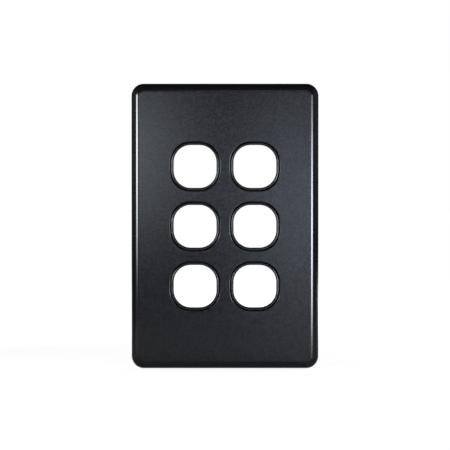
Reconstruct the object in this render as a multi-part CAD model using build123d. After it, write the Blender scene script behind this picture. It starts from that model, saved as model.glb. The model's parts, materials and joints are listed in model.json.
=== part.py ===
from build123d import *
import math
import os

# A wall switch plate for six clip-in mechanisms: a clip-on cover over a moulded grid.
# The plate is drawn lying on its back, with X across it, Y up it and Z from the wall to the room.
# At the end it is stood upright: its front faces -Y, +Z is up and the wall is the plane Y = 0.

# Driving dimensions, in millimetres and degrees

# Cover: a drafted shell with a rounded front edge
plate_width = 76.2
plate_height = 116.0
plate_corner = 5.0
cover_depth = 8.0
rim_draft = 4.0
edge_radius = 3.2
face_wall = 2.0
rim_wall = 1.8
inner_bevel = 0.6
wall_gap = 0.3

# Gangs: two columns of three openings
gang_columns = 2
gang_rows = 3
gang_pitch = 24.3
aperture = 17.4
aperture_flat = 3.4

# Collars of the grid, which stand in the holes of the cover
collar_wall = 0.9
collar_gap = 0.45
collar_proud = 0.2
collar_land = 0.4
hole_bevel = 0.2

# Low ribs behind the cover's face, which stiffen it and seat on the grid's web
seat_rib = 1.2
seat_height = 0.5

# Grid: a flat web with pocket walls, an outer frame and struts on its back
web_wall = 1.8
flange_gap = 0.35
pocket_rib = 1.6
frame_wall = 1.5
frame_gap = 0.5
frame_corner = 1.0
strut_wall = 1.2
strut_clear = 0.8
barb_window_width = 7.0
barb_window_height = 1.6

# Snap hooks of the cover, a pair along each side
hook_spacing_long = 72.0
hook_spacing_short = 36.0
hook_width = 7.0
hook_wall = 1.1
hook_flex_gap = 0.8
hook_catch = 0.6
hook_nib_flat = 0.5
hook_lead = 0.9
hook_play = 0.1
notch_gap = 0.15
notch_side_gap = 0.5

# Wall fixings
fixing_spacing = 84.0
fixing_hole = 4.5
fixing_head = 8.4
fixing_floor = 2.2
boss_wall = 1.5

# Slot in the bottom rim for prising the cover off
pry_width = 9.0
pry_height = 1.2

# Levels above the wall
inner_face = cover_depth - face_wall
web_front = inner_face - seat_height
web_back = web_front - web_wall
collar_top = cover_depth + collar_proud

# Sizes of the openings that fit one in another
collar_size = aperture + 2 * collar_wall
hole_size = collar_size + 2 * collar_gap
pocket_size = gang_pitch - pocket_rib
collar_bevel = (collar_wall - collar_land) / 2

# How far each layer lies inside the cover's outline at the wall
draft_slope = math.tan(math.radians(rim_draft))
cavity_inset = rim_wall + (inner_face - wall_gap) * draft_slope
flange_inset = rim_wall + (web_front - wall_gap) * draft_slope + flange_gap
hook_outer_inset = cavity_inset + hook_flex_gap
hook_inner_inset = hook_outer_inset + hook_wall
notch_inset = hook_inner_inset + notch_gap
nib_inset = hook_inner_inset + hook_catch
frame_inset = nib_inset + frame_gap

gangs = GridLocations(gang_pitch, gang_pitch, gang_columns, gang_rows)
fixings = GridLocations(0, fixing_spacing, 1, 2)


def slab(width, height, corner, bottom, top, draft=0.0):
    """A rounded rectangle raised from one level to another, narrowing at the draft angle."""
    outline = Pos(0, 0, bottom) * RectangleRounded(width, height, corner)
    return extrude(outline, amount=top - bottom, taper=draft)


def inset_slab(inset, corner, bottom, top, draft=0.0):
    """A slab whose sides lie a given distance inside the cover's outline."""
    return slab(plate_width - 2 * inset, plate_height - 2 * inset, corner, bottom, top, draft)


def parallel_corner(inset):
    """The corner radius that keeps an inset outline parallel to the cover's."""
    return max(plate_corner - inset, frame_corner)


def gang_outline(size):
    """The rounded square round one gang, with the same short flats at every size."""
    return RectangleRounded(size, size, (size - aperture_flat) / 2)


def gang_slab(size, bottom, top):
    """A rounded square round one gang, raised from one level to another."""
    return extrude(Pos(0, 0, bottom) * gang_outline(size), amount=top - bottom)


def standing_cylinder(diameter, bottom, top):
    """A round post or hole from one level to another."""
    return extrude(Pos(0, 0, bottom) * Circle(diameter / 2), amount=top - bottom)


def standing_box(width, height, bottom, top):
    """A square-cornered block from one level to another."""
    return extrude(Pos(0, 0, bottom) * Rectangle(width, height), amount=top - bottom)


def copies(shape, places):
    """One copy of a shape at every place."""
    return [place * shape for place in places]


def front_face(shape):
    """The face nearest to the room."""
    return shape.faces().sort_by(Axis.Z)[-1]


def lattice(wall, bottom, top, reach_x=0.0, reach_y=0.0):
    """Straight ribs along the lines between the gangs, which reach past the outer lines if asked."""
    across = standing_box(gang_columns * gang_pitch + 2 * reach_x, wall, bottom, top)
    upright = standing_box(wall, gang_rows * gang_pitch + 2 * reach_y, bottom, top)
    rows = copies(across, GridLocations(0, gang_pitch, 1, gang_rows + 1))
    return rows + copies(upright, GridLocations(gang_pitch, 0, gang_columns + 1, 1))


def hook_places():
    """The middle of each hook's stretch of rim, with X pointing out of the plate."""
    places = []
    for turn in (0, 180):
        for along in (-hook_spacing_long / 2, hook_spacing_long / 2):
            places.append(Rot(0, 0, turn) * Pos(plate_width / 2, along, 0))
    for turn in (90, 270):
        for along in (-hook_spacing_short / 2, hook_spacing_short / 2):
            places.append(Rot(0, 0, turn) * Pos(plate_height / 2, along, 0))
    return places


def snap_hook():
    """A springy tab behind the cover's face, with a nib that catches under the grid's flange."""
    nib_front = web_back - hook_play
    nib_back = nib_front - hook_nib_flat
    tab_end = nib_back - hook_lead
    outline = Polyline(
        (-hook_outer_inset, inner_face),
        (-hook_outer_inset, tab_end),
        (-hook_inner_inset, tab_end),
        (-nib_inset, nib_back),
        (-nib_inset, nib_front),
        (-hook_inner_inset, nib_front),
        (-hook_inner_inset, inner_face),
        close=True,
    )
    return extrude(Plane.XZ * make_face(outline), amount=hook_width / 2, both=True)


def hook_notch():
    """The gap in the grid's flange that a hook passes through, centred on the rim."""
    return standing_box(2 * notch_inset, hook_width + 2 * notch_side_gap, web_back, web_front)


def cover_shell():
    """The hollow cover: drafted rim, rounded front edge and a cavity of even wall."""
    body = inset_slab(0, plate_corner, wall_gap, cover_depth, rim_draft)
    body = fillet(front_face(body).edges(), edge_radius)
    cavity = inset_slab(rim_wall, parallel_corner(rim_wall), wall_gap, inner_face, rim_draft)
    cavity = chamfer(front_face(cavity).edges(), inner_bevel)
    return body - cavity


def pry_slot():
    """The notch through the bottom rim, open to the wall."""
    slot = standing_box(pry_width, 2 * cavity_inset, wall_gap, wall_gap + pry_height)
    return Pos(0, -plate_height / 2, 0) * slot


def make_cover():
    """The clip-on cover: shell, seat ribs, hooks, bevelled holes and a pry slot."""
    cover = cover_shell() + lattice(seat_rib, web_front, inner_face)
    cover += copies(snap_hook(), hook_places())
    cover -= copies(gang_slab(hole_size, web_front, cover_depth), gangs)
    cover = chamfer(front_face(cover).inner_wires().edges(), hole_bevel)
    return cover - pry_slot()


def collar():
    """The ring round a gang that stands in the cover's hole, from the web's back to a bevelled rim."""
    ring = gang_slab(collar_size, web_back, collar_top) - gang_slab(aperture, web_back, collar_top)
    return chamfer(front_face(ring).edges(), collar_bevel)


def grid_web():
    """The flat web of the grid, notched for the cover's hooks."""
    web = inset_slab(flange_inset, parallel_corner(flange_inset), web_back, web_front)
    return web - copies(hook_notch(), hook_places())


def grid_frame():
    """The upright wall near the web's edge, which stands on the wall."""
    outside = inset_slab(frame_inset, frame_corner + frame_wall, 0, web_back)
    return outside - inset_slab(frame_inset + frame_wall, frame_corner, 0, web_back)


def pocket_crate():
    """The block of the mechanism pockets, before they are cut."""
    width = gang_columns * gang_pitch + pocket_rib
    height = gang_rows * gang_pitch + pocket_rib
    return standing_box(width, height, 0, web_back)


def struts():
    """Ribs in line with the pocket walls, which tie them to the frame."""
    frame_line = frame_inset + frame_wall / 2
    reach_x = plate_width / 2 - frame_line - gang_columns * gang_pitch / 2
    reach_y = plate_height / 2 - frame_line - gang_rows * gang_pitch / 2
    return lattice(strut_wall, strut_clear, web_back, reach_x, reach_y)


def barb_windows():
    """The windows in the upright pocket walls that a mechanism's barbs snap into."""
    window = standing_box(2 * pocket_rib, barb_window_width, web_back - barb_window_height, web_back)
    return copies(window, GridLocations(gang_pitch, gang_pitch, gang_columns + 1, gang_rows))


def make_grid():
    """The moulded grid: web, collars, pockets, frame, struts and screw bosses."""
    pocket = standing_box(pocket_size, pocket_size, 0, web_back)
    boss = standing_cylinder(fixing_head + 2 * boss_wall, 0, web_front)
    screw_hole = standing_cylinder(fixing_hole, 0, fixing_floor)
    screw_head = standing_cylinder(fixing_head, fixing_floor, web_front)

    grid = grid_web() + grid_frame() + pocket_crate()
    grid += struts()
    grid += copies(boss, fixings)
    grid -= copies(pocket, gangs)
    grid -= copies(gang_slab(collar_size, web_back, web_front), gangs)
    grid -= copies(screw_hole, fixings)
    grid -= copies(screw_head, fixings)
    grid -= barb_windows()
    return grid + copies(collar(), gangs)


def main():
    """Builds both mouldings, stands them upright and writes one file for each."""
    os.makedirs("parts", exist_ok=True)
    stand_up = Rot(90, 0, 0)
    export_step(stand_up * make_cover(), "parts/cover_plate.step")
    export_step(stand_up * make_grid(), "parts/grid_plate.step")


main()
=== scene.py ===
"""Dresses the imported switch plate: the moulded cover, the grid behind it, the stage and the camera."""

import json
import math
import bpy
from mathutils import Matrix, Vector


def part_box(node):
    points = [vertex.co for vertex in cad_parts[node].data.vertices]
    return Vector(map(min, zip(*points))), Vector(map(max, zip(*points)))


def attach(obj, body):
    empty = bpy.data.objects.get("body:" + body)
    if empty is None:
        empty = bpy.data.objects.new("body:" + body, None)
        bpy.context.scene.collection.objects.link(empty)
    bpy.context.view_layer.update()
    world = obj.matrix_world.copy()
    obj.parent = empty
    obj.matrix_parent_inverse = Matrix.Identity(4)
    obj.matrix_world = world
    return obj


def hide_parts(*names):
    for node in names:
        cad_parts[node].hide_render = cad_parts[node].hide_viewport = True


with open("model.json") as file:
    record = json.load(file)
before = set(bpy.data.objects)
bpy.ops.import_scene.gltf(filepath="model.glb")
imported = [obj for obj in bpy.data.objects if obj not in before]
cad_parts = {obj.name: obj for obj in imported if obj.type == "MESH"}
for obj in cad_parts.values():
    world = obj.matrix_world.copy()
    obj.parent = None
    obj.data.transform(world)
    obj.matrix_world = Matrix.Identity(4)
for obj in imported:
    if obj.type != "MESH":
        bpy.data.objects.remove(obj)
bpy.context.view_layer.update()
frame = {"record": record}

from types import SimpleNamespace

import bpy
from bpy.props import FloatProperty, FloatVectorProperty, IntProperty, PointerProperty
from mathutils import Euler, Vector

bl_info = {
    "name": "Switch plate",
    "version": (1, 0, 0),
    "blender": (4, 5, 0),
    "location": "View3D > Sidebar > Switch plate",
    "description": "Makes a moulded switch plate: a clip-on cover, the grid behind it and a stage",
    "category": "Object",
}

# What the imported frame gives: outer sizes, levels above the wall and the places of the gangs

MM = 0.001
COVER_LOW, COVER_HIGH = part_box("cover_plate")
GRID_LOW, GRID_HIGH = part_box("grid_plate")
MOUNTS = {mount["name"]: mount for mount in frame["record"]["mounts"]}
GANG_CENTRES = [mount["pos_m"] for name, mount in MOUNTS.items() if name.startswith("mechanism")]
GANG_LINES_X = sorted({round(centre[0], 6) for centre in GANG_CENTRES})
GANG_LINES_Z = sorted({round(centre[2], 6) for centre in GANG_CENTRES})
FIXINGS = MOUNTS["wall_screws"]["dims"]
BODY = "root"

# Facets of the round stretches

CORNER_STEPS = 18
GANG_STEPS = 16
EDGE_STEPS = 24
RIM_STEPS = 8
FINE_STEPS = 3
POST_STEPS = 48
SMOOTH_ANGLE = math.radians(32)

# How the trees take in their sizes, and join and cut their shapes

SOCKETS = {"FLOAT": "NodeSocketFloat", "INT": "NodeSocketInt"}
MANIFOLD = {"solver": "MANIFOLD"}
WELD = 0.002 * MM
OVERLAP = 0.3 * MM

# How deep the pry slot's tool is, in rim walls, and how far apart the pin marks above and below the
# pockets are, in gang pitches

SLOT_REACH = 4
PIN_SPREAD = 1.3

# An edge of an open border has one face beside it

BORDER_FACES = 1.0
COUNT_TOLERANCE = 0.1

# The places of a Mix node's colour sockets

MIX_COLOURS = (6, 7)
MIX_RESULT = 2

# Finer points of the finishes. The grain's shine comes in over the middle of the noise's range.
# The rolled edge lies in a band round the outline, and the web's front is fully matt and painted darker,
# as painted shade at the bottom of the grooves round the collars.

WHITE = (1.0, 1.0, 1.0)
NOISE_MIDDLE = 0.5
SHINE_RANGE = (0.40, 0.60)
GRAIN_DETAIL = 3.0
MOTTLE_DETAIL = 2.0
FLOW_DETAIL = 4.0
MOTTLE_SHARE = 0.4
FINE_GRAIN = 0.5
FLOW_STRETCH = (0.25, 1.0, 1.0)
ROLLED_BAND = 6.0 * MM
WEB_BAND = 0.05 * MM
# Painted shade: the web's front, seen only deep in the grooves, is painted this much darker
WEB_PAINTED_SHADE = 0.2
WEB_ROUGHNESS = 1.0

# The softboxes: the middle of each, its width and height, its watts and its tint.
# The rear one lights the back, and no edge in front of it mirrors it.

REAR = "rear"
SOFTBOXES = {
    "left_strip": ((-0.180, -0.174, 0.032), (0.130, 0.145), 0.46, (0.98, 0.99, 1.0)),
    "left_fill": ((-0.052, -0.245, 0.030), (0.09, 0.12), 0.0245, (0.84, 0.92, 1.0)),
    "right_strip": ((0.136, -0.210, -0.006), (0.110, 0.165), 0.52, (0.86, 0.91, 1.0)),
    "right_fill": ((0.037, -0.247, 0.009), (0.09, 0.16), 0.0225, (0.72, 0.80, 1.0)),
    "top_fill": ((0.02, -0.25, 0.13), (0.15, 0.10), 0.010, (0.90, 0.94, 1.0)),
    REAR: ((0.45, 0.5, 0.12), (0.3, 0.3), 5.0, WHITE),
}

# Where the side glow and the fading of the floor's shadow start, as shares of the way to their ends

SIDE_START = 0.5
SHADOW_START = 0.5

# A softbox that fades to its edges is this much brighter in the middle than an even one of its power

SOFTBOX_GAIN = (15 / 8) ** 2


def length(label, about, metres):
    """A length for the sidebar."""
    return FloatProperty(
        name=label, description=about, default=metres, min=0.0, unit="LENGTH", precision=5
    )


def angle(label, about, degrees):
    """An angle for the sidebar."""
    return FloatProperty(name=label, description=about, default=math.radians(degrees), subtype="ANGLE")


def count(label, about, number):
    """A whole number for the sidebar."""
    return IntProperty(name=label, description=about, default=number, min=1)


def share(label, about, value):
    """A number from nothing to one for the sidebar."""
    return FloatProperty(
        name=label, description=about, default=value, min=0.0, max=1.0, subtype="FACTOR"
    )


def amount(label, about, value):
    """A plain number for the sidebar."""
    return FloatProperty(name=label, description=about, default=value, min=0.0, precision=4)


def colour(label, about, values):
    """A colour for the sidebar."""
    return FloatVectorProperty(
        name=label, description=about, default=values, size=3, min=0.0, max=1.0, subtype="COLOR"
    )


def place(label, about, metres):
    """A place in the studio for the sidebar."""
    return FloatVectorProperty(
        name=label, description=about, default=metres, size=3, subtype="XYZ", unit="LENGTH", precision=4
    )


def panel(label, about, metres):
    """The width and height of a softbox for the sidebar."""
    return FloatVectorProperty(
        name=label, description=about, default=metres, size=2, min=0.0, unit="LENGTH", precision=4
    )


class GangSizes(bpy.types.PropertyGroup):
    """The openings and the collars round them."""

    columns: count("Gang columns", "Openings side by side", len(GANG_LINES_X))
    rows: count("Gang rows", "Openings one above another", len(GANG_LINES_Z))
    pitch: length("Gang pitch", "From one opening to the next", GANG_LINES_X[1] - GANG_LINES_X[0])
    aperture: length("Aperture", "Clear width of an opening", 17.4 * MM)
    flat: length("Aperture flat", "Straight stretch of each side of an opening", 3.4 * MM)
    collar_wall: length("Collar wall", "Thickness of the collar round an opening", 0.9 * MM)
    collar_gap: length("Collar gap", "Dark gap between a collar and the cover", 0.45 * MM)
    collar_slope: length("Collar slope", "Width of a rim's slope into its opening", 0.36 * MM)
    collar_bevel: length("Collar bevel", "Width of the bevel round the outside of a rim", 0.20 * MM)
    collar_rounding: length("Collar rounding", "Radius of the edge between rim and bevel", 0.45 * MM)
    mouth_rounding: length("Mouth rounding", "Radius of a collar's other edges", 0.06 * MM)
    collar_top: length("Collar top", "Height of a collar's rim above the wall", -GRID_LOW.y)
    web_back: length("Web back", "Height of the grid's web above the wall", -GANG_CENTRES[0][1])


class HookSizes(bpy.types.PropertyGroup):
    """The cover's hooks and the notches that they pass through."""

    spacing_long: length("Hook spacing, long side", "Between the hooks of a long side", 72.0 * MM)
    spacing_short: length("Hook spacing, short side", "Between the hooks of a short side", 36.0 * MM)
    hook_width: length("Hook width", "Width of a hook", 7.0 * MM)
    hook_wall: length("Hook wall", "Thickness of a hook", 1.1 * MM)
    flex_gap: length("Hook flex gap", "Room behind a hook to bend", 0.8 * MM)
    catch: length("Hook catch", "How far a hook's nib reaches", 0.6 * MM)
    nib_flat: length("Hook nib flat", "Height of the nib's end", 0.5 * MM)
    lead: length("Hook lead", "Height of the nib's slope", 0.9 * MM)
    play: length("Hook play", "Gap between a nib and the web", 0.1 * MM)
    notch_depth: length("Notch depth", "Depth of a notch in the web's edge", 1.735 * MM)
    notch_gap: length("Notch side gap", "Gap beside a hook in its notch", 0.5 * MM)


class CoverSizes(bpy.types.PropertyGroup):
    """The clip-on cover."""

    width: length("Cover width", "Across the cover at the wall", COVER_HIGH.x - COVER_LOW.x)
    height: length("Cover height", "Up the cover at the wall", COVER_HIGH.z - COVER_LOW.z)
    depth: length("Cover depth", "From the wall to the front face", -COVER_LOW.y)
    wall_gap: length("Wall gap", "Gap between the rim and the wall", -COVER_HIGH.y)
    corner: length("Cover corner", "Corner radius of the outline", 5.0 * MM)
    draft: angle("Rim draft", "Lean of the rim", 4.0)
    edge_radius: length("Edge radius", "Radius of the rolled front edge", 3.2 * MM)
    face_wall: length("Face wall", "Thickness of the front face", 2.0 * MM)
    rim_wall: length("Rim wall", "Thickness of the rim", 1.8 * MM)
    rim_rounding: length("Rim rounding", "Radius of the rim's edges at the wall", 0.15 * MM)
    inner_bevel: length("Inner bevel", "Bevel in the corner behind the face", 0.6 * MM)
    hole_rounding: length("Hole rounding", "Radius of the front edge of each hole", 0.24 * MM)
    flat_strip: length("Flat strip", "Flat margin beside each rounding", 0.25 * MM)
    seat_rib: length("Seat rib", "Thickness of the ribs behind the face", 1.2 * MM)
    seat_height: length("Seat height", "Height of the ribs behind the face", 0.5 * MM)
    pry_width: length("Pry slot width", "Width of the slot for prising the cover off", 9.0 * MM)
    pry_height: length("Pry slot height", "Height of that slot", 1.2 * MM)


class GridSizes(bpy.types.PropertyGroup):
    """The grid behind the cover."""

    web_width: length("Web width", "Across the web", GRID_HIGH.x - GRID_LOW.x)
    web_height: length("Web height", "Up the web", GRID_HIGH.z - GRID_LOW.z)
    web_corner: length("Web corner", "Corner radius of the web", 2.487 * MM)
    web_wall: length("Web wall", "Thickness of the web", 1.8 * MM)
    pocket_rib: length("Pocket rib", "Wall between two pockets", 1.6 * MM)
    frame_inset: length("Frame inset", "From the web's edge to the frame", 2.685 * MM)
    frame_wall: length("Frame wall", "Thickness of the frame", 1.5 * MM)
    frame_corner: length("Frame corner", "Inner corner radius of the frame", 1.0 * MM)
    strut_wall: length("Strut wall", "Thickness of the struts", 1.2 * MM)
    strut_clear: length("Strut clear", "Gap between a strut and the wall", 0.8 * MM)
    window_width: length("Barb window width", "Width of the barb windows", 7.0 * MM)
    window_height: length("Barb window height", "Height of the barb windows", 1.6 * MM)
    fixing_spacing: length("Fixing spacing", "Between the fixing holes", FIXINGS["spacing_y_mm"] * MM)
    fixing_hole: length("Fixing hole", "Diameter of a fixing hole", 2 * FIXINGS["hole_r_mm"] * MM)
    fixing_head: length("Fixing head", "Diameter of the recess for a screw's head", 8.4 * MM)
    fixing_floor: length("Fixing floor", "Thickness under a screw's head", 2.2 * MM)
    boss_wall: length("Boss wall", "Wall round a screw's head", 1.5 * MM)
    pin_mark: length("Pin mark", "Diameter of the ejector pins' marks", 3.0 * MM)
    pin_depth: length("Pin mark depth", "Depth of those marks", 0.12 * MM)


class FinishSettings(bpy.types.PropertyGroup):
    """The surfaces of the two black mouldings."""

    cover_colour: colour("Cover colour", "Colour of the cover's plastic", (0.0047, 0.0050, 0.0060))
    grid_colour: colour("Grid colour", "Colour of the grid's plastic", (0.0062, 0.0064, 0.0072))
    dust_colour: colour("Dust colour", "Colour of the specks of dust", (0.035, 0.035, 0.037))
    refraction: amount("Refraction", "Refractive index of the plastic", 1.585)
    grain: length("Grain", "Size of the cover's moulded texture", 0.75 * MM)
    grain_depth: length("Grain depth", "Height of that texture", 0.007 * MM)
    grain_shade: share("Grain shade", "How far the texture lightens and darkens the plastic", 0.35)
    grain_gloss: share("Grain gloss", "How far the texture changes the roughness", 0.17)
    grain_coat: share("Grain coat", "How far the texture changes the shine", 0.42)
    mottle: length("Mottle", "Size of the clouds in the plastic's colour", 14.0 * MM)
    texture_end: length("Texture end", "How far round the rolled edge the texture fades out", 0.05 * MM)
    face_roughness: share("Face roughness", "Roughness of the textured face", 0.225)
    edge_roughness: share("Edge roughness", "Roughness of the plain rolled edge", 0.15)
    rim_roughness: share("Rim roughness", "Roughness of the rims of the collars and holes", 0.28)
    grid_roughness: share("Grid roughness", "Roughness of the rest of the grid", 0.55)
    polish_end: length("Polish end", "How far down a collar's rim is polished", 0.35 * MM)
    flow: length("Flow", "Width of the flow marks on the grid", 2.5 * MM)
    dust_spacing: length("Dust spacing", "Distance between specks of dust", 7.0 * MM)
    dust_size: length("Dust size", "Radius of a speck of dust", 0.2 * MM)


class StageSettings(bpy.types.PropertyGroup):
    """The floor, the lights and the camera."""

    distance: length("Camera distance", "From the camera to the plate", 1.1)
    view_width: length("View width", "Width of the view at the plate", 183.65 * MM)
    azimuth: angle("Camera azimuth", "Turn of the camera round the plate", 0.0)
    elevation: angle("Camera elevation", "Height of the camera", 1.4)
    aim_height: length("Aim height", "How far above the plate's middle the camera aims", 0.40 * MM)
    ambience: share("Ambience", "Dim light from all round", 0.016)
    side_glow: share("Side glow", "Dim light from the left and the right", 0.15)
    backdrop: angle("Backdrop", "Half-width of the white backdrop that the plate mirrors", 2.5)
    floor_size: length("Floor size", "Width of the floor", 6.0)
    floor_shade: share("Floor shade", "How pale the floor is", 0.3)
    shadow_depth: share("Shadow depth", "How far below white the floor falls in full shadow", 0.16)
    shadow_reach: length("Shadow reach", "Radius of the floor that keeps the shadow", 0.25)


def softbox_settings():
    """The settings of every softbox for the sidebar."""
    settings = {}
    for side, (middle, size, watts, tint) in SOFTBOXES.items():
        box = side.replace("_", " ") + " softbox"
        label = box.capitalize()
        settings[side + "_place"] = place(f"{label} place", f"Middle of the {box}", middle)
        settings[side + "_panel"] = panel(f"{label} size", f"Width and height of the {box}", size)
        settings[side + "_power"] = amount(f"{label} power", f"Watts of the {box}", watts)
        settings[side + "_tint"] = colour(f"{label} tint", f"Colour of the {box}", tint)
    return settings


StageSettings.__annotations__.update(softbox_settings())


class Wire:
    """An output socket of a node. Sums with it add Math nodes to its tree."""

    def __init__(self, maker, socket):
        self.maker = maker
        self.socket = socket

    def __add__(self, other):
        return self.maker.math("ADD", self, other)

    def __radd__(self, other):
        return self.maker.math("ADD", other, self)

    def __sub__(self, other):
        return self.maker.math("SUBTRACT", self, other)

    def __rsub__(self, other):
        return self.maker.math("SUBTRACT", other, self)

    def __mul__(self, other):
        return self.maker.math("MULTIPLY", self, other)

    def __rmul__(self, other):
        return self.maker.math("MULTIPLY", other, self)

    def __neg__(self):
        return self.maker.math("MULTIPLY", self, -1.0)

    def __gt__(self, other):
        return self.maker.math("GREATER_THAN", self, other)

    def __lt__(self, other):
        return self.maker.math("LESS_THAN", self, other)

    def other(self, name):
        """Another output of the same node."""
        return Wire(self.maker, self.socket.node.outputs[name])


class NodeMaker:
    """Adds nodes to one tree."""

    def __init__(self, tree):
        self.tree = tree

    def node(self, kind, settings=None, inputs=None, output=0):
        """One node, with its settings, which are set first, and its sockets' values or links."""
        made = self.tree.nodes.new(kind)
        for name, value in (settings or {}).items():
            self.set_up(made, name, value)
        for name, value in (inputs or {}).items():
            self.feed(made.inputs[name], value)
        return Wire(self, made.outputs[output]) if made.outputs else made

    def set_up(self, made, name, value):
        """One setting of a node: the number of a switch's items or a plain value."""
        if name == "items":
            while len(made.index_switch_items) < value:
                made.index_switch_items.new()
        else:
            setattr(made, name, value)

    def feed(self, socket, value):
        """Links a socket to a wire, or to several, or gives it a value."""
        if isinstance(value, Wire):
            self.tree.links.new(value.socket, socket)
        elif isinstance(value, list):
            for wire in value:
                self.tree.links.new(wire.socket, socket)
        else:
            socket.default_value = value

    def math(self, operation, *terms):
        """A Math node on values."""
        return self.node("ShaderNodeMath", {"operation": operation}, dict(enumerate(terms)))

    def vector(self, x=0.0, y=0.0, z=0.0):
        """Three values as a vector."""
        return self.node("ShaderNodeCombineXYZ", {}, {"X": x, "Y": y, "Z": z})

    def part(self, vector, axis):
        """One axis of a vector."""
        return self.node("ShaderNodeSeparateXYZ", {}, {0: vector}, axis)


# Shapes that the geometry trees share. They lie flat: X across the plate, Y up it and Z out of the wall.


def sizes_of(groups):
    """Each property group with each of its sizes."""
    pairs = [(group, size) for group in groups for size in group.bl_rna.properties]
    return [(group, size) for group, size in pairs if size.type in SOCKETS]


def start_tree(name, groups):
    """A geometry tree with one named input for each size of the property groups, and those inputs."""
    tree = bpy.data.node_groups.new(name, "GeometryNodeTree")
    maker = NodeMaker(tree)
    labels = {}
    for _, size in sizes_of(groups):
        tree.interface.new_socket(size.name, in_out="INPUT", socket_type=SOCKETS[size.type])
        labels[size.identifier] = size.name
    tree.interface.new_socket("Material", in_out="INPUT", socket_type="NodeSocketMaterial")
    tree.interface.new_socket("Mesh", in_out="OUTPUT", socket_type="NodeSocketGeometry")
    entry = tree.nodes.new("NodeGroupInput")
    sizes = {key: Wire(maker, entry.outputs[label]) for key, label in labels.items()}
    sizes["material"] = Wire(maker, entry.outputs["Material"])
    return maker, SimpleNamespace(**sizes)


def finish_tree(maker, mesh, material):
    """Stands the flat shape upright, gives it its material and ends the tree."""
    stand_up = Euler((math.pi / 2, 0.0, 0.0))
    upright = maker.node("GeometryNodeTransform", {}, {"Geometry": mesh, "Rotation": stand_up})
    real = maker.node("GeometryNodeRealizeInstances", {}, {"Geometry": upright})
    dressed = maker.node("GeometryNodeSetMaterial", {}, {"Geometry": real, "Material": material})
    maker.node("NodeGroupOutput", {}, {"Mesh": dressed})
    return maker.tree


def rounded_rectangle(maker, width, height, corner, steps):
    """A closed curve with round corners."""
    spans = {"Width": width, "Height": height}
    outline = maker.node("GeometryNodeCurvePrimitiveQuadrilateral", {}, spans)
    return maker.node(
        "GeometryNodeFilletCurve",
        {"mode": "POLY"},
        {"Curve": outline, "Count": steps, "Radius": corner, "Limit Radius": True},
    )


def gang_outline(maker, size, flat):
    """The rounded square round one gang."""
    return rounded_rectangle(maker, size, size, (size - flat) * 0.5, GANG_STEPS)


def by_index(maker, kind, values):
    """A field that gives each point of a curve its own value."""
    inputs = {str(number): value for number, value in enumerate(values)}
    inputs["Index"] = maker.node("GeometryNodeInputIndex")
    return maker.node("GeometryNodeIndexSwitch", {"data_type": kind, "items": len(values)}, inputs)


def section(maker, corners, closed=False):
    """A section through a wall, from the inset, the level, the radius and its steps of each corner."""
    places = [maker.vector(-inset, -level, 0.0) for inset, level, radius, steps in corners]
    line = maker.node("GeometryNodeMeshLine", {}, {"Count": len(corners)})
    laid = maker.node(
        "GeometryNodeSetPosition", {}, {"Geometry": line, "Position": by_index(maker, "VECTOR", places)}
    )
    curve = maker.node("GeometryNodeMeshToCurve", {}, {"Mesh": laid})
    if closed:
        curve = maker.node("GeometryNodeSetSplineCyclic", {}, {"Geometry": curve, "Cyclic": True})
    return maker.node(
        "GeometryNodeFilletCurve",
        {"mode": "POLY"},
        {
            "Curve": curve,
            "Count": by_index(maker, "INT", [steps for inset, level, radius, steps in corners]),
            "Radius": by_index(maker, "FLOAT", [radius for inset, level, radius, steps in corners]),
        },
    )


def sweep(maker, path, profile, caps=False):
    """A profile carried along a path."""
    level = maker.node("GeometryNodeSetCurveNormal", {"mode": "Z_UP"}, {"Curve": path})
    return maker.node(
        "GeometryNodeCurveToMesh", {}, {"Curve": level, "Profile Curve": profile, "Fill Caps": caps}
    )


def raised(maker, outline, bottom, top):
    """A closed outline raised from one level to another."""
    path = maker.node(
        "GeometryNodeCurvePrimitiveLine",
        {},
        {"Start": maker.vector(0.0, 0.0, bottom), "End": maker.vector(0.0, 0.0, top)},
    )
    return sweep(maker, path, outline, caps=True)


def block(maker, width, height, bottom, top):
    """A square-cornered block from one level to another."""
    cube = maker.node("GeometryNodeMeshCube", {}, {"Size": maker.vector(width, height, top - bottom)})
    return moved(maker, cube, maker.vector(0.0, 0.0, (top + bottom) * 0.5))


def post(maker, diameter, bottom, top):
    """A round post from one level to another."""
    cylinder = maker.node(
        "GeometryNodeMeshCylinder",
        {},
        {"Vertices": POST_STEPS, "Radius": diameter * 0.5, "Depth": top - bottom},
    )
    return moved(maker, cylinder, maker.vector(0.0, 0.0, (top + bottom) * 0.5))


def moved(maker, shape, offset=(0.0, 0.0, 0.0), turn=0.0):
    """A shape turned about the wall's axis and shifted."""
    return maker.node(
        "GeometryNodeTransform",
        {},
        {"Geometry": shape, "Translation": offset, "Rotation": Euler((0.0, 0.0, turn))},
    )


def repeated(maker, shape, columns, rows, pitch_x, pitch_y):
    """Copies of a shape on a grid about the middle of the plate."""
    places = maker.node(
        "GeometryNodeMeshGrid",
        {},
        {
            "Size X": (columns - 1) * pitch_x,
            "Size Y": (rows - 1) * pitch_y,
            "Vertices X": columns,
            "Vertices Y": rows,
        },
    )
    copies = maker.node("GeometryNodeInstanceOnPoints", {}, {"Points": places, "Instance": shape})
    return maker.node("GeometryNodeRealizeInstances", {}, {"Geometry": copies})


def at_gangs(maker, sizes, shape):
    """A copy of a shape at each gang."""
    return repeated(maker, shape, sizes.columns, sizes.rows, sizes.pitch, sizes.pitch)


def joined(maker, *shapes):
    """Several shapes as one geometry."""
    return maker.node("GeometryNodeJoinGeometry", {}, {"Geometry": list(shapes)})


def fused(maker, *shapes):
    """Several solids as one solid."""
    settings = {"operation": "UNION", **MANIFOLD}
    return maker.node("GeometryNodeMeshBoolean", settings, {"Mesh 2": list(shapes)})


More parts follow.
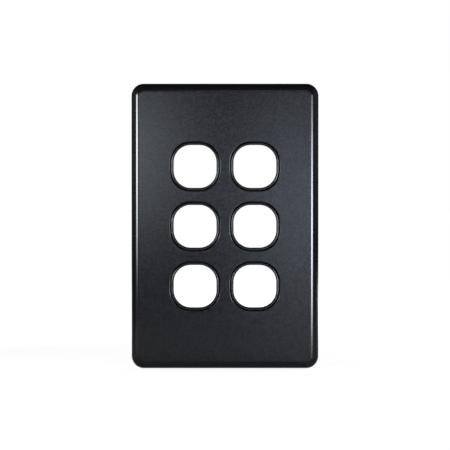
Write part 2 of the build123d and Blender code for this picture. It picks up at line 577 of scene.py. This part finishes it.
def cut(maker, solid, *tools):
    """A solid with others taken out of it."""
    settings = {"operation": "DIFFERENCE", **MANIFOLD}
    return maker.node("GeometryNodeMeshBoolean", settings, {"Mesh 1": solid, "Mesh 2": list(tools)})


def on_all_sides(maker, shape, width, height, sizes):
    """Pairs of a shape along each side of a plate; the shape's X points out of the plate."""
    long_side = (width, sizes.spacing_long, 0.0)
    short_side = (height, sizes.spacing_short, math.pi / 2)
    pairs = []
    for reach, spacing, turn in (long_side, short_side):
        for along in (spacing * 0.5, spacing * -0.5):
            placed = moved(maker, shape, maker.vector(reach * 0.5, along, 0.0))
            pairs.append(moved(maker, placed, turn=turn))
            pairs.append(moved(maker, placed, turn=turn + math.pi))
    return joined(maker, *pairs)


def lattice(maker, sizes, wall, bottom, top, reach_x=0.0, reach_y=0.0):
    """Ribs across and ribs up along the lines between the gangs, as two shapes."""
    across = block(maker, sizes.columns * sizes.pitch + 2 * reach_x, wall, bottom, top)
    upright = block(maker, wall, sizes.rows * sizes.pitch + 2 * reach_y, bottom, top)
    return [
        repeated(maker, across, 1, sizes.rows + 1, sizes.pitch, sizes.pitch),
        repeated(maker, upright, sizes.columns + 1, 1, sizes.pitch, sizes.pitch),
    ]


# The cover


def closing_face(maker, shell, level, middle, front):
    """The flat face that fills the open loops on one side of the middle of a wall."""
    edges = maker.node("GeometryNodeInputMeshEdgeNeighbors")
    height = maker.part(maker.node("GeometryNodeInputPosition"), "Z")
    side = height > middle if front else height < middle
    is_open = maker.math("COMPARE", edges, BORDER_FACES, COUNT_TOLERANCE)
    loops = maker.node("GeometryNodeMeshToCurve", {}, {"Mesh": shell, "Selection": is_open * side})
    face = maker.node("GeometryNodeFillCurve", {"mode": "TRIANGLES"}, {"Curve": loops})
    face = moved(maker, face, maker.vector(0.0, 0.0, level))
    return face if front else maker.node("GeometryNodeFlipFaces", {}, {"Mesh": face})


def lean(maker, sizes, height):
    """How far the drafted rim leans in over a height."""
    return height * maker.math("TANGENT", sizes.draft)


def cavity_inset(maker, sizes):
    """How far the cavity's edge behind the face lies inside the outline at the wall."""
    return sizes.rim_wall + lean(maker, sizes, sizes.depth - sizes.face_wall - sizes.wall_gap)


def cover_rim(maker, sizes):
    """The drafted wall round the cover, with its rolled edge and a strip of both faces."""
    inner_face = sizes.depth - sizes.face_wall
    front_inset = lean(maker, sizes, sizes.depth - sizes.wall_gap)
    back_inset = cavity_inset(maker, sizes)
    face_inset = front_inset + sizes.edge_radius + sizes.flat_strip
    bevel = sizes.inner_bevel
    profile = section(
        maker,
        [
            (face_inset, sizes.depth, 0.0, 1),
            (front_inset, sizes.depth, sizes.edge_radius, EDGE_STEPS),
            (0.0, sizes.wall_gap, sizes.rim_rounding, FINE_STEPS),
            (sizes.rim_wall, sizes.wall_gap, sizes.rim_rounding, FINE_STEPS),
            (back_inset - lean(maker, sizes, bevel), inner_face - bevel, 0.0, 1),
            (back_inset + bevel, inner_face, 0.0, 1),
            (face_inset, inner_face, 0.0, 1),
        ],
    )
    outline = rounded_rectangle(maker, sizes.width, sizes.height, sizes.corner, CORNER_STEPS)
    return sweep(maker, outline, profile)


def cover_holes(maker, sizes):
    """The walls of the holes, with round front edges and a strip of the front face."""
    profile = section(
        maker,
        [
            (-sizes.hole_rounding - sizes.flat_strip, sizes.depth, 0.0, 1),
            (0.0, sizes.depth, sizes.hole_rounding, RIM_STEPS),
            (0.0, sizes.depth - sizes.face_wall, 0.0, 1),
        ],
    )
    size = sizes.aperture + 2 * sizes.collar_wall + 2 * sizes.collar_gap
    walls = at_gangs(maker, sizes, sweep(maker, gang_outline(maker, size, sizes.flat), profile))
    return maker.node("GeometryNodeFlipFaces", {}, {"Mesh": walls})


def cover_shell(maker, sizes):
    """The rim and the holes, with the rest of both faces between them."""
    bands = joined(maker, cover_rim(maker, sizes), cover_holes(maker, sizes))
    middle = sizes.depth - sizes.face_wall * 0.5
    front = closing_face(maker, bands, sizes.depth, middle, front=True)
    back = closing_face(maker, bands, sizes.depth - sizes.face_wall, middle, front=False)
    shell = joined(maker, bands, front, back)
    return maker.node("GeometryNodeMergeByDistance", {}, {"Geometry": shell, "Distance": WELD})


def cover_hook(maker, sizes):
    """A springy tab behind the face, with a nib that catches under the grid's web."""
    root = sizes.depth - sizes.face_wall + OVERLAP
    outer = cavity_inset(maker, sizes) + sizes.flex_gap
    inner = outer + sizes.hook_wall
    nib_front = sizes.web_back - sizes.play
    nib_back = nib_front - sizes.nib_flat
    corners = [
        (outer, root, 0.0, 1),
        (outer, nib_back - sizes.lead, sizes.rim_rounding, FINE_STEPS),
        (inner, nib_back - sizes.lead, sizes.rim_rounding, FINE_STEPS),
        (inner + sizes.catch, nib_back, 0.0, 1),
        (inner + sizes.catch, nib_front, 0.0, 1),
        (inner, nib_front, 0.0, 1),
        (inner, root, 0.0, 1),
    ]
    half = sizes.hook_width * 0.5
    path = maker.node(
        "GeometryNodeCurvePrimitiveLine",
        {},
        {"Start": maker.vector(0.0, -half, 0.0), "End": maker.vector(0.0, half, 0.0)},
    )
    return sweep(maker, path, section(maker, corners, closed=True), caps=True)


def cover_tree(groups):
    """The tree of the whole cover."""
    maker, sizes = start_tree("cover_tree", groups)
    inner_face = sizes.depth - sizes.face_wall
    ribs = lattice(maker, sizes, sizes.seat_rib, inner_face - sizes.seat_height, inner_face + OVERLAP)
    hooks = on_all_sides(maker, cover_hook(maker, sizes), sizes.width, sizes.height, sizes)
    solid = fused(maker, cover_shell(maker, sizes), hooks, *ribs)
    slot_top = sizes.wall_gap + sizes.pry_height
    slot = block(maker, sizes.pry_width, sizes.rim_wall * SLOT_REACH, 0.0, slot_top)
    slot = moved(maker, slot, maker.vector(0.0, sizes.height * -0.5, 0.0))
    return finish_tree(maker, cut(maker, solid, slot), sizes.material)


# The grid


def grid_collar(maker, sizes):
    """The ring round an opening, from the web's back to a narrow rim with a round outer edge."""
    top = sizes.collar_top
    profile = section(
        maker,
        [
            (0.0, sizes.web_back, 0.0, 1),
            (0.0, top - sizes.collar_slope, sizes.mouth_rounding, FINE_STEPS),
            (-sizes.collar_slope, top, sizes.mouth_rounding, FINE_STEPS),
            (sizes.collar_bevel - sizes.collar_wall, top, sizes.collar_rounding, RIM_STEPS),
            (-sizes.collar_wall, top - sizes.collar_bevel, sizes.mouth_rounding, FINE_STEPS),
            (-sizes.collar_wall, sizes.web_back, 0.0, 1),
        ],
        closed=True,
    )
    return sweep(maker, gang_outline(maker, sizes.aperture, sizes.flat), profile)


def pin_marks(maker, sizes):
    """The shallow round marks that ejector pins leave on the web, in the bays round the pockets."""
    mark = post(maker, sizes.pin_mark, sizes.web_back - OVERLAP, sizes.web_back + sizes.pin_depth)
    inset = 2 * (sizes.frame_inset + sizes.frame_wall) - sizes.pocket_rib
    span_x = (sizes.web_width - inset + sizes.columns * sizes.pitch) * 0.5
    span_y = (sizes.web_height - inset + sizes.rows * sizes.pitch) * 0.5
    return [
        repeated(maker, mark, 2, sizes.rows, span_x, sizes.pitch),
        repeated(maker, mark, 2, 2, sizes.pitch * PIN_SPREAD, span_y),
    ]


def at_fixings(maker, sizes, shape):
    """A copy of a shape at each of the two wall fixings."""
    return repeated(maker, shape, 1, 2, 0.0, sizes.fixing_spacing)


def grid_frame(maker, sizes, width, height):
    """The upright ring near the web's edge, which stands on the wall."""
    inner_width = width - 2 * sizes.frame_wall
    inner_height = height - 2 * sizes.frame_wall
    outer_corner = sizes.frame_corner + sizes.frame_wall
    outside = rounded_rectangle(maker, width, height, outer_corner, RIM_STEPS)
    inside = rounded_rectangle(maker, inner_width, inner_height, sizes.frame_corner, RIM_STEPS)
    return cut(
        maker,
        raised(maker, outside, 0.0, sizes.web_back + OVERLAP),
        raised(maker, inside, -OVERLAP, sizes.web_back + 2 * OVERLAP),
    )


def grid_walls(maker, sizes):
    """The grid before it is opened: web, frame, the crate of the pockets, bosses and struts."""
    back = sizes.web_back
    front = back + sizes.web_wall
    outline = rounded_rectangle(maker, sizes.web_width, sizes.web_height, sizes.web_corner, RIM_STEPS)
    web = raised(maker, outline, back, front)
    frame_width = sizes.web_width - 2 * sizes.frame_inset
    frame_height = sizes.web_height - 2 * sizes.frame_inset
    ring = grid_frame(maker, sizes, frame_width, frame_height)
    gangs_width = sizes.columns * sizes.pitch
    gangs_height = sizes.rows * sizes.pitch
    rib = sizes.pocket_rib
    crate = block(maker, gangs_width + rib, gangs_height + rib, 0.0, back + OVERLAP)
    reach_x = (frame_width - sizes.frame_wall - gangs_width) * 0.5
    reach_y = (frame_height - sizes.frame_wall - gangs_height) * 0.5
    boss = post(maker, sizes.fixing_head + 2 * sizes.boss_wall, 0.0, front)
    bosses = at_fixings(maker, sizes, boss)
    clear = sizes.strut_clear
    struts = lattice(maker, sizes, sizes.strut_wall, clear, back + OVERLAP, reach_x, reach_y)
    return fused(maker, web, ring, crate, bosses, *struts)


def grid_openings(maker, sizes):
    """What is cut out of the grid: pockets, holes, screw holes, windows, notches and pin marks."""
    back = sizes.web_back
    front = back + sizes.web_wall
    pocket_size = sizes.pitch - sizes.pocket_rib
    pocket = block(maker, pocket_size, pocket_size, -OVERLAP, back)
    outline = gang_outline(maker, sizes.aperture + sizes.collar_wall, sizes.flat)
    hole = raised(maker, outline, -OVERLAP, front + OVERLAP)
    screw_hole = post(maker, sizes.fixing_hole, -OVERLAP, front)
    screw_head = post(maker, sizes.fixing_head, sizes.fixing_floor, front + OVERLAP)
    window = block(maker, 2 * sizes.pocket_rib, sizes.window_width, back - sizes.window_height, back)
    notch_width = sizes.hook_width + 2 * sizes.notch_gap
    notch = block(maker, 2 * sizes.notch_depth, notch_width, back - OVERLAP, front + OVERLAP)
    return [
        at_gangs(maker, sizes, pocket),
        at_gangs(maker, sizes, hole),
        at_fixings(maker, sizes, screw_hole),
        at_fixings(maker, sizes, screw_head),
        repeated(maker, window, sizes.columns + 1, sizes.rows, sizes.pitch, sizes.pitch),
        on_all_sides(maker, notch, sizes.web_width, sizes.web_height, sizes),
        *pin_marks(maker, sizes),
    ]


def grid_tree(groups):
    """The tree of the whole grid."""
    maker, sizes = start_tree("grid_tree", groups)
    solid = cut(maker, grid_walls(maker, sizes), *grid_openings(maker, sizes))
    collars = at_gangs(maker, sizes, grid_collar(maker, sizes))
    return finish_tree(maker, fused(maker, solid, collars), sizes.material)


# Materials


def start_material(name):
    """A new material and the maker of its nodes."""
    material = bpy.data.materials.new(name)
    material.use_nodes = True
    material.node_tree.nodes.clear()
    return material, NodeMaker(material.node_tree)


def cloud(maker, where, size, detail):
    """Noise whose patches are about one size across."""
    return maker.node("ShaderNodeTexNoise", {}, {"Vector": where, "Scale": 1 / size, "Detail": detail})


def ease(maker, value, low, high):
    """From nothing to one, smoothly, as a value goes from low to high."""
    inputs = {"Value": value, "From Min": low, "From Max": high}
    return maker.node("ShaderNodeMapRange", {"interpolation_type": "SMOOTHSTEP"}, inputs)


def blended(maker, factor, first, second):
    """A colour between two colours."""
    inputs = {"Factor": factor, MIX_COLOURS[0]: first, MIX_COLOURS[1]: second}
    return maker.node("ShaderNodeMix", {"data_type": "RGBA"}, inputs, MIX_RESULT)


def shaded(shade, factor):
    """A plain colour, darker or lighter."""
    return tuple(factor * part for part in shade) + (1.0,)


def varied(maker, shade, plastic, spread):
    """A plastic's colour, from darker to lighter by a share, as a value goes from nothing to one."""
    return blended(maker, shade, shaded(plastic, 1 - spread), shaded(plastic, 1 + spread))


def dust_mask(maker, where, finish):
    """A few small specks, each of its own size."""
    specks = maker.node("ShaderNodeTexVoronoi", {}, {"Vector": where, "Scale": 1 / finish.dust_spacing})
    luck = maker.node("ShaderNodeSeparateColor", {}, {"Color": specks.other("Color")}, "Red")
    return specks < luck * (finish.dust_size / finish.dust_spacing)


def cover_plastic(finish, cover):
    """Black plastic with a fine moulded texture, which stops at the rolled edge and at the holes."""
    material, maker = start_material("cover_plastic")
    where = maker.node("ShaderNodeTexCoord", {}, {}, "Object")
    level = maker.part(where, "Y")
    aside = maker.math("ABSOLUTE", level.other("X")) - cover.width / 2
    above = maker.math("ABSOLUTE", level.other("Z")) - cover.height / 2
    rolled = maker.math("MAXIMUM", aside, above) > -ROLLED_BAND
    plain = ease(maker, level + cover.depth, 0.0, finish.texture_end)
    textured = 1 - plain
    grain = cloud(maker, where, finish.grain, GRAIN_DETAIL)
    mottle = cloud(maker, where, finish.mottle, MOTTLE_DETAIL)
    relief = (grain - NOISE_MIDDLE) * textured
    shade = relief + (mottle - NOISE_MIDDLE) * MOTTLE_SHARE + NOISE_MIDDLE
    black = varied(maker, shade, finish.cover_colour, finish.grain_shade)
    dusted = blended(maker, dust_mask(maker, where, finish), black, shaded(finish.dust_colour, 1))
    polish = finish.rim_roughness + rolled * (finish.edge_roughness - finish.rim_roughness)
    roughness = finish.face_roughness + plain * (polish - finish.face_roughness)
    bump = maker.node("ShaderNodeBump", {}, {"Height": grain * textured, "Distance": finish.grain_depth})
    shader = maker.node(
        "ShaderNodeBsdfPrincipled",
        {},
        {
            "Base Color": dusted,
            "Roughness": roughness + relief * finish.grain_gloss,
            "IOR": finish.refraction,
            "Coat Weight": ease(maker, grain, *SHINE_RANGE) * textured * finish.grain_coat,
            "Coat Roughness": finish.face_roughness,
            "Normal": bump,
        },
    )
    maker.node("ShaderNodeOutputMaterial", {}, {"Surface": shader})
    return material


def grid_plastic(finish, collar_top, web_front):
    """Black plastic with faint flow marks, polished at the collars' rims and matt behind them, and
    painted darker on the web's front as painted shade in the grooves.
    """
    material, maker = start_material("grid_plastic")
    where = maker.node("ShaderNodeTexCoord", {}, {}, "Object")
    level = maker.part(where, "Y")
    matt = ease(maker, level + collar_top, finish.polish_end, 2 * finish.polish_end)
    web = maker.math("COMPARE", level, -web_front, WEB_BAND)
    drawn = maker.node("ShaderNodeMapping", {}, {"Vector": where, "Scale": FLOW_STRETCH})
    flow = cloud(maker, drawn, finish.flow, FLOW_DETAIL)
    grain = cloud(maker, where, finish.grain * FINE_GRAIN, GRAIN_DETAIL)
    black = varied(maker, flow, finish.grid_colour, finish.grain_shade)
    # Painted shade: the web's front is painted darker where it lies deep in the grooves round the
    # collars
    black = blended(maker, web, black, shaded(finish.grid_colour, WEB_PAINTED_SHADE))
    roughness = finish.rim_roughness + matt * (finish.grid_roughness - finish.rim_roughness)
    roughness = roughness + web * (WEB_ROUGHNESS - finish.grid_roughness)
    depth = finish.grain_depth * FINE_GRAIN
    bump = maker.node("ShaderNodeBump", {}, {"Height": grain, "Distance": depth})
    shader = maker.node(
        "ShaderNodeBsdfPrincipled",
        {},
        {
            "Base Color": black,
            "Roughness": roughness + (flow + grain - 2 * NOISE_MIDDLE) * finish.grain_gloss,
            "IOR": finish.refraction,
            "Normal": bump,
        },
    )
    maker.node("ShaderNodeOutputMaterial", {}, {"Surface": shader})
    return material


def floor_paper(settings):
    """Pale paper that looks white to the camera, with room left for the plate's shadow."""
    material, maker = start_material("floor_paper")
    where = maker.node("ShaderNodeTexCoord", {}, {}, "Object")
    reach = maker.node("ShaderNodeVectorMath", {"operation": "LENGTH"}, {0: where}, "Value")
    away = maker.part(where, "Y")
    aside = maker.math("ABSOLUTE", away.other("X"))
    seen = maker.node("ShaderNodeLightPath", {}, {}, "Is Camera Ray")
    backdrop = (away > settings.shadow_reach) * (aside < away * math.tan(settings.backdrop))
    mirrored = (seen.other("Is Glossy Ray") + seen.other("Is Transmission Ray")) * backdrop
    beyond = ease(maker, reach, SHADOW_START * settings.shadow_reach, settings.shadow_reach)
    shadow = (1 - beyond) * settings.shadow_depth
    glow = maker.node("ShaderNodeEmission", {}, {"Color": (seen + mirrored) * (1 - shadow)})
    paper = maker.node("ShaderNodeBsdfDiffuse", {}, {"Color": shaded(WHITE, settings.floor_shade)})
    both = maker.node("ShaderNodeAddShader", {}, {0: paper, 1: glow})
    maker.node("ShaderNodeOutputMaterial", {}, {"Surface": both})
    material.cycles.emission_sampling = "NONE"
    return material


# Pieces


def grow(name, tree, material, groups):
    """Runs a geometry tree with the sizes of the property groups and keeps its plain mesh."""
    piece = bpy.data.objects.new(name, bpy.data.meshes.new(name))
    bpy.context.scene.collection.objects.link(piece)
    values = {size.name: getattr(group, size.identifier) for group, size in sizes_of(groups)}
    values["Material"] = material
    modifier = piece.modifiers.new(tree.name, "NODES")
    modifier.node_group = tree
    for socket in tree.interface.items_tree:
        if socket.in_out == "INPUT":
            modifier[socket.identifier] = values[socket.name]
    evaluated = piece.evaluated_get(bpy.context.evaluated_depsgraph_get())
    mesh = bpy.data.meshes.new_from_object(evaluated)
    piece.modifiers.clear()
    piece.data = mesh
    mesh.name = name
    mesh.shade_smooth()
    mesh.set_sharp_from_angle(angle=SMOOTH_ANGLE)
    if not mesh.polygons:
        raise RuntimeError(f"{name} came out empty")
    return piece


class SWITCHPLATE_OT_cover(bpy.types.Operator):
    """Makes the clip-on cover"""

    bl_idname = "switchplate.cover"
    bl_label = "Make the cover"

    def execute(self, context):
        scene = context.scene
        groups = (scene.plate_gangs, scene.plate_hooks, scene.plate_cover)
        material = cover_plastic(scene.plate_finish, scene.plate_cover)
        piece = grow("moulded_cover", cover_tree(groups), material, groups)
        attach(piece, BODY)
        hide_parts("cover_plate")
        return {"FINISHED"}


class SWITCHPLATE_OT_grid(bpy.types.Operator):
    """Makes the grid behind the cover"""

    bl_idname = "switchplate.grid"
    bl_label = "Make the grid"

    def execute(self, context):
        scene = context.scene
        groups = (scene.plate_gangs, scene.plate_hooks, scene.plate_grid)
        web_front = scene.plate_gangs.web_back + scene.plate_grid.web_wall
        material = grid_plastic(scene.plate_finish, scene.plate_gangs.collar_top, web_front)
        piece = grow("moulded_grid", grid_tree(groups), material, groups)
        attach(piece, BODY)
        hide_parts("grid_plate")
        return {"FINISHED"}


class SWITCHPLATE_OT_stage(bpy.types.Operator):
    """Sets the floor, the lights and the camera"""

    bl_idname = "switchplate.stage"
    bl_label = "Set the stage"

    def execute(self, context):
        settings = context.scene.plate_stage
        make_world(settings)
        make_floor(settings)
        for side in SOFTBOXES:
            make_softbox(settings, side)
        make_camera(settings)
        context.scene.view_settings.view_transform = "Standard"
        return {"FINISHED"}


def make_world(settings):
    """White for the camera and, straight behind the plate, for reflections; dim light elsewhere."""
    world = bpy.data.worlds.new("studio")
    bpy.context.scene.world = world
    world.use_nodes = True
    world.node_tree.nodes.clear()
    maker = NodeMaker(world.node_tree)
    towards = maker.node("ShaderNodeTexCoord", {}, {}, "Generated")
    away = maker.part(towards, "Y")
    aside = maker.math("ABSOLUTE", away.other("X"))
    dim = ease(maker, aside, SIDE_START, 1.0) * settings.side_glow + settings.ambience
    seen = maker.node("ShaderNodeLightPath", {}, {}, "Is Camera Ray")
    glossy = seen.other("Is Glossy Ray") + seen.other("Is Transmission Ray")
    mirrored = glossy * (away > math.cos(settings.backdrop))
    light = maker.node("ShaderNodeBackground", {}, {"Color": dim + (seen + mirrored) * (1 - dim)})
    maker.node("ShaderNodeOutputWorld", {}, {"Surface": light})


def make_floor(settings):
    """A plain pale floor under the plate."""
    bpy.ops.mesh.primitive_plane_add(size=settings.floor_size, location=(0.0, 0.0, COVER_LOW.z))
    floor = bpy.context.object
    floor.name = "floor"
    floor.data.materials.append(floor_paper(settings))


def bulge(value):
    """From nothing at both ends of a range from nothing to one, to one in its middle."""
    return value * (1 - value) * 4


def soften(data):
    """Lets a softbox fade from its middle to its edges."""
    data.use_nodes = True
    data.node_tree.nodes.clear()
    maker = NodeMaker(data.node_tree)
    where = maker.node("ShaderNodeNewGeometry", {}, {}, "Parametric")
    across = maker.part(where, "X")
    hump = bulge(across) * bulge(across.other("Y"))
    glow = maker.node("ShaderNodeEmission", {}, {"Color": hump * hump * SOFTBOX_GAIN})
    maker.node("ShaderNodeOutputLight", {}, {"Surface": glow})


def make_softbox(settings, side):
    """A soft light that faces the plate and that the camera doesn't see."""
    data = bpy.data.lights.new(side + "_softbox", "AREA")
    data.shape = "RECTANGLE"
    data.size, data.size_y = getattr(settings, side + "_panel")
    data.energy = getattr(settings, side + "_power")
    data.color = getattr(settings, side + "_tint")
    soften(data)
    softbox = bpy.data.objects.new(data.name, data)
    bpy.context.scene.collection.objects.link(softbox)
    softbox.location = getattr(settings, side + "_place")
    softbox.rotation_euler = softbox.location.to_track_quat("Z", "Y").to_euler()
    softbox.visible_camera = False
    softbox.visible_glossy = side != REAR


def make_camera(settings):
    """A camera at the photograph's angle."""
    camera = bpy.data.objects.new("camera", bpy.data.cameras.new("camera"))
    bpy.context.scene.collection.objects.link(camera)
    bpy.context.scene.camera = camera
    back = Euler((-settings.elevation, 0.0, settings.azimuth)).to_matrix() @ Vector((0.0, -1.0, 0.0))
    camera.location = Vector((0.0, 0.0, settings.aim_height)) + back * settings.distance
    camera.rotation_euler = (-back).to_track_quat("-Z", "Y").to_euler()
    camera.data.lens = camera.data.sensor_width * settings.distance / settings.view_width


class SWITCHPLATE_PT_sidebar(bpy.types.Panel):
    """Lists the pieces and the stage"""

    bl_idname = "SWITCHPLATE_PT_sidebar"
    bl_label = "Switch plate"
    bl_space_type = "VIEW_3D"
    bl_region_type = "UI"
    bl_category = "Switch plate"

    def draw(self, context):
        for operator in OPERATORS:
            self.layout.operator(operator.bl_idname)


OPERATORS = (SWITCHPLATE_OT_cover, SWITCHPLATE_OT_grid, SWITCHPLATE_OT_stage)
SETTINGS = {
    "plate_gangs": GangSizes,
    "plate_hooks": HookSizes,
    "plate_cover": CoverSizes,
    "plate_grid": GridSizes,
    "plate_finish": FinishSettings,
    "plate_stage": StageSettings,
}


def register():
    """Registers the settings, the operators and the panel."""
    for kind in (*SETTINGS.values(), *OPERATORS, SWITCHPLATE_PT_sidebar):
        bpy.utils.register_class(kind)
    for name, kind in SETTINGS.items():
        setattr(bpy.types.Scene, name, PointerProperty(type=kind))


def unregister():
    """Takes back what register did."""
    for name in SETTINGS:
        delattr(bpy.types.Scene, name)
    for kind in reversed((*SETTINGS.values(), *OPERATORS, SWITCHPLATE_PT_sidebar)):
        bpy.utils.unregister_class(kind)


def main():
    """Makes the pieces and the stage."""
    register()
    bpy.ops.switchplate.cover()
    bpy.ops.switchplate.grid()
    bpy.ops.switchplate.stage()


if __name__ == "__main__":
    main()
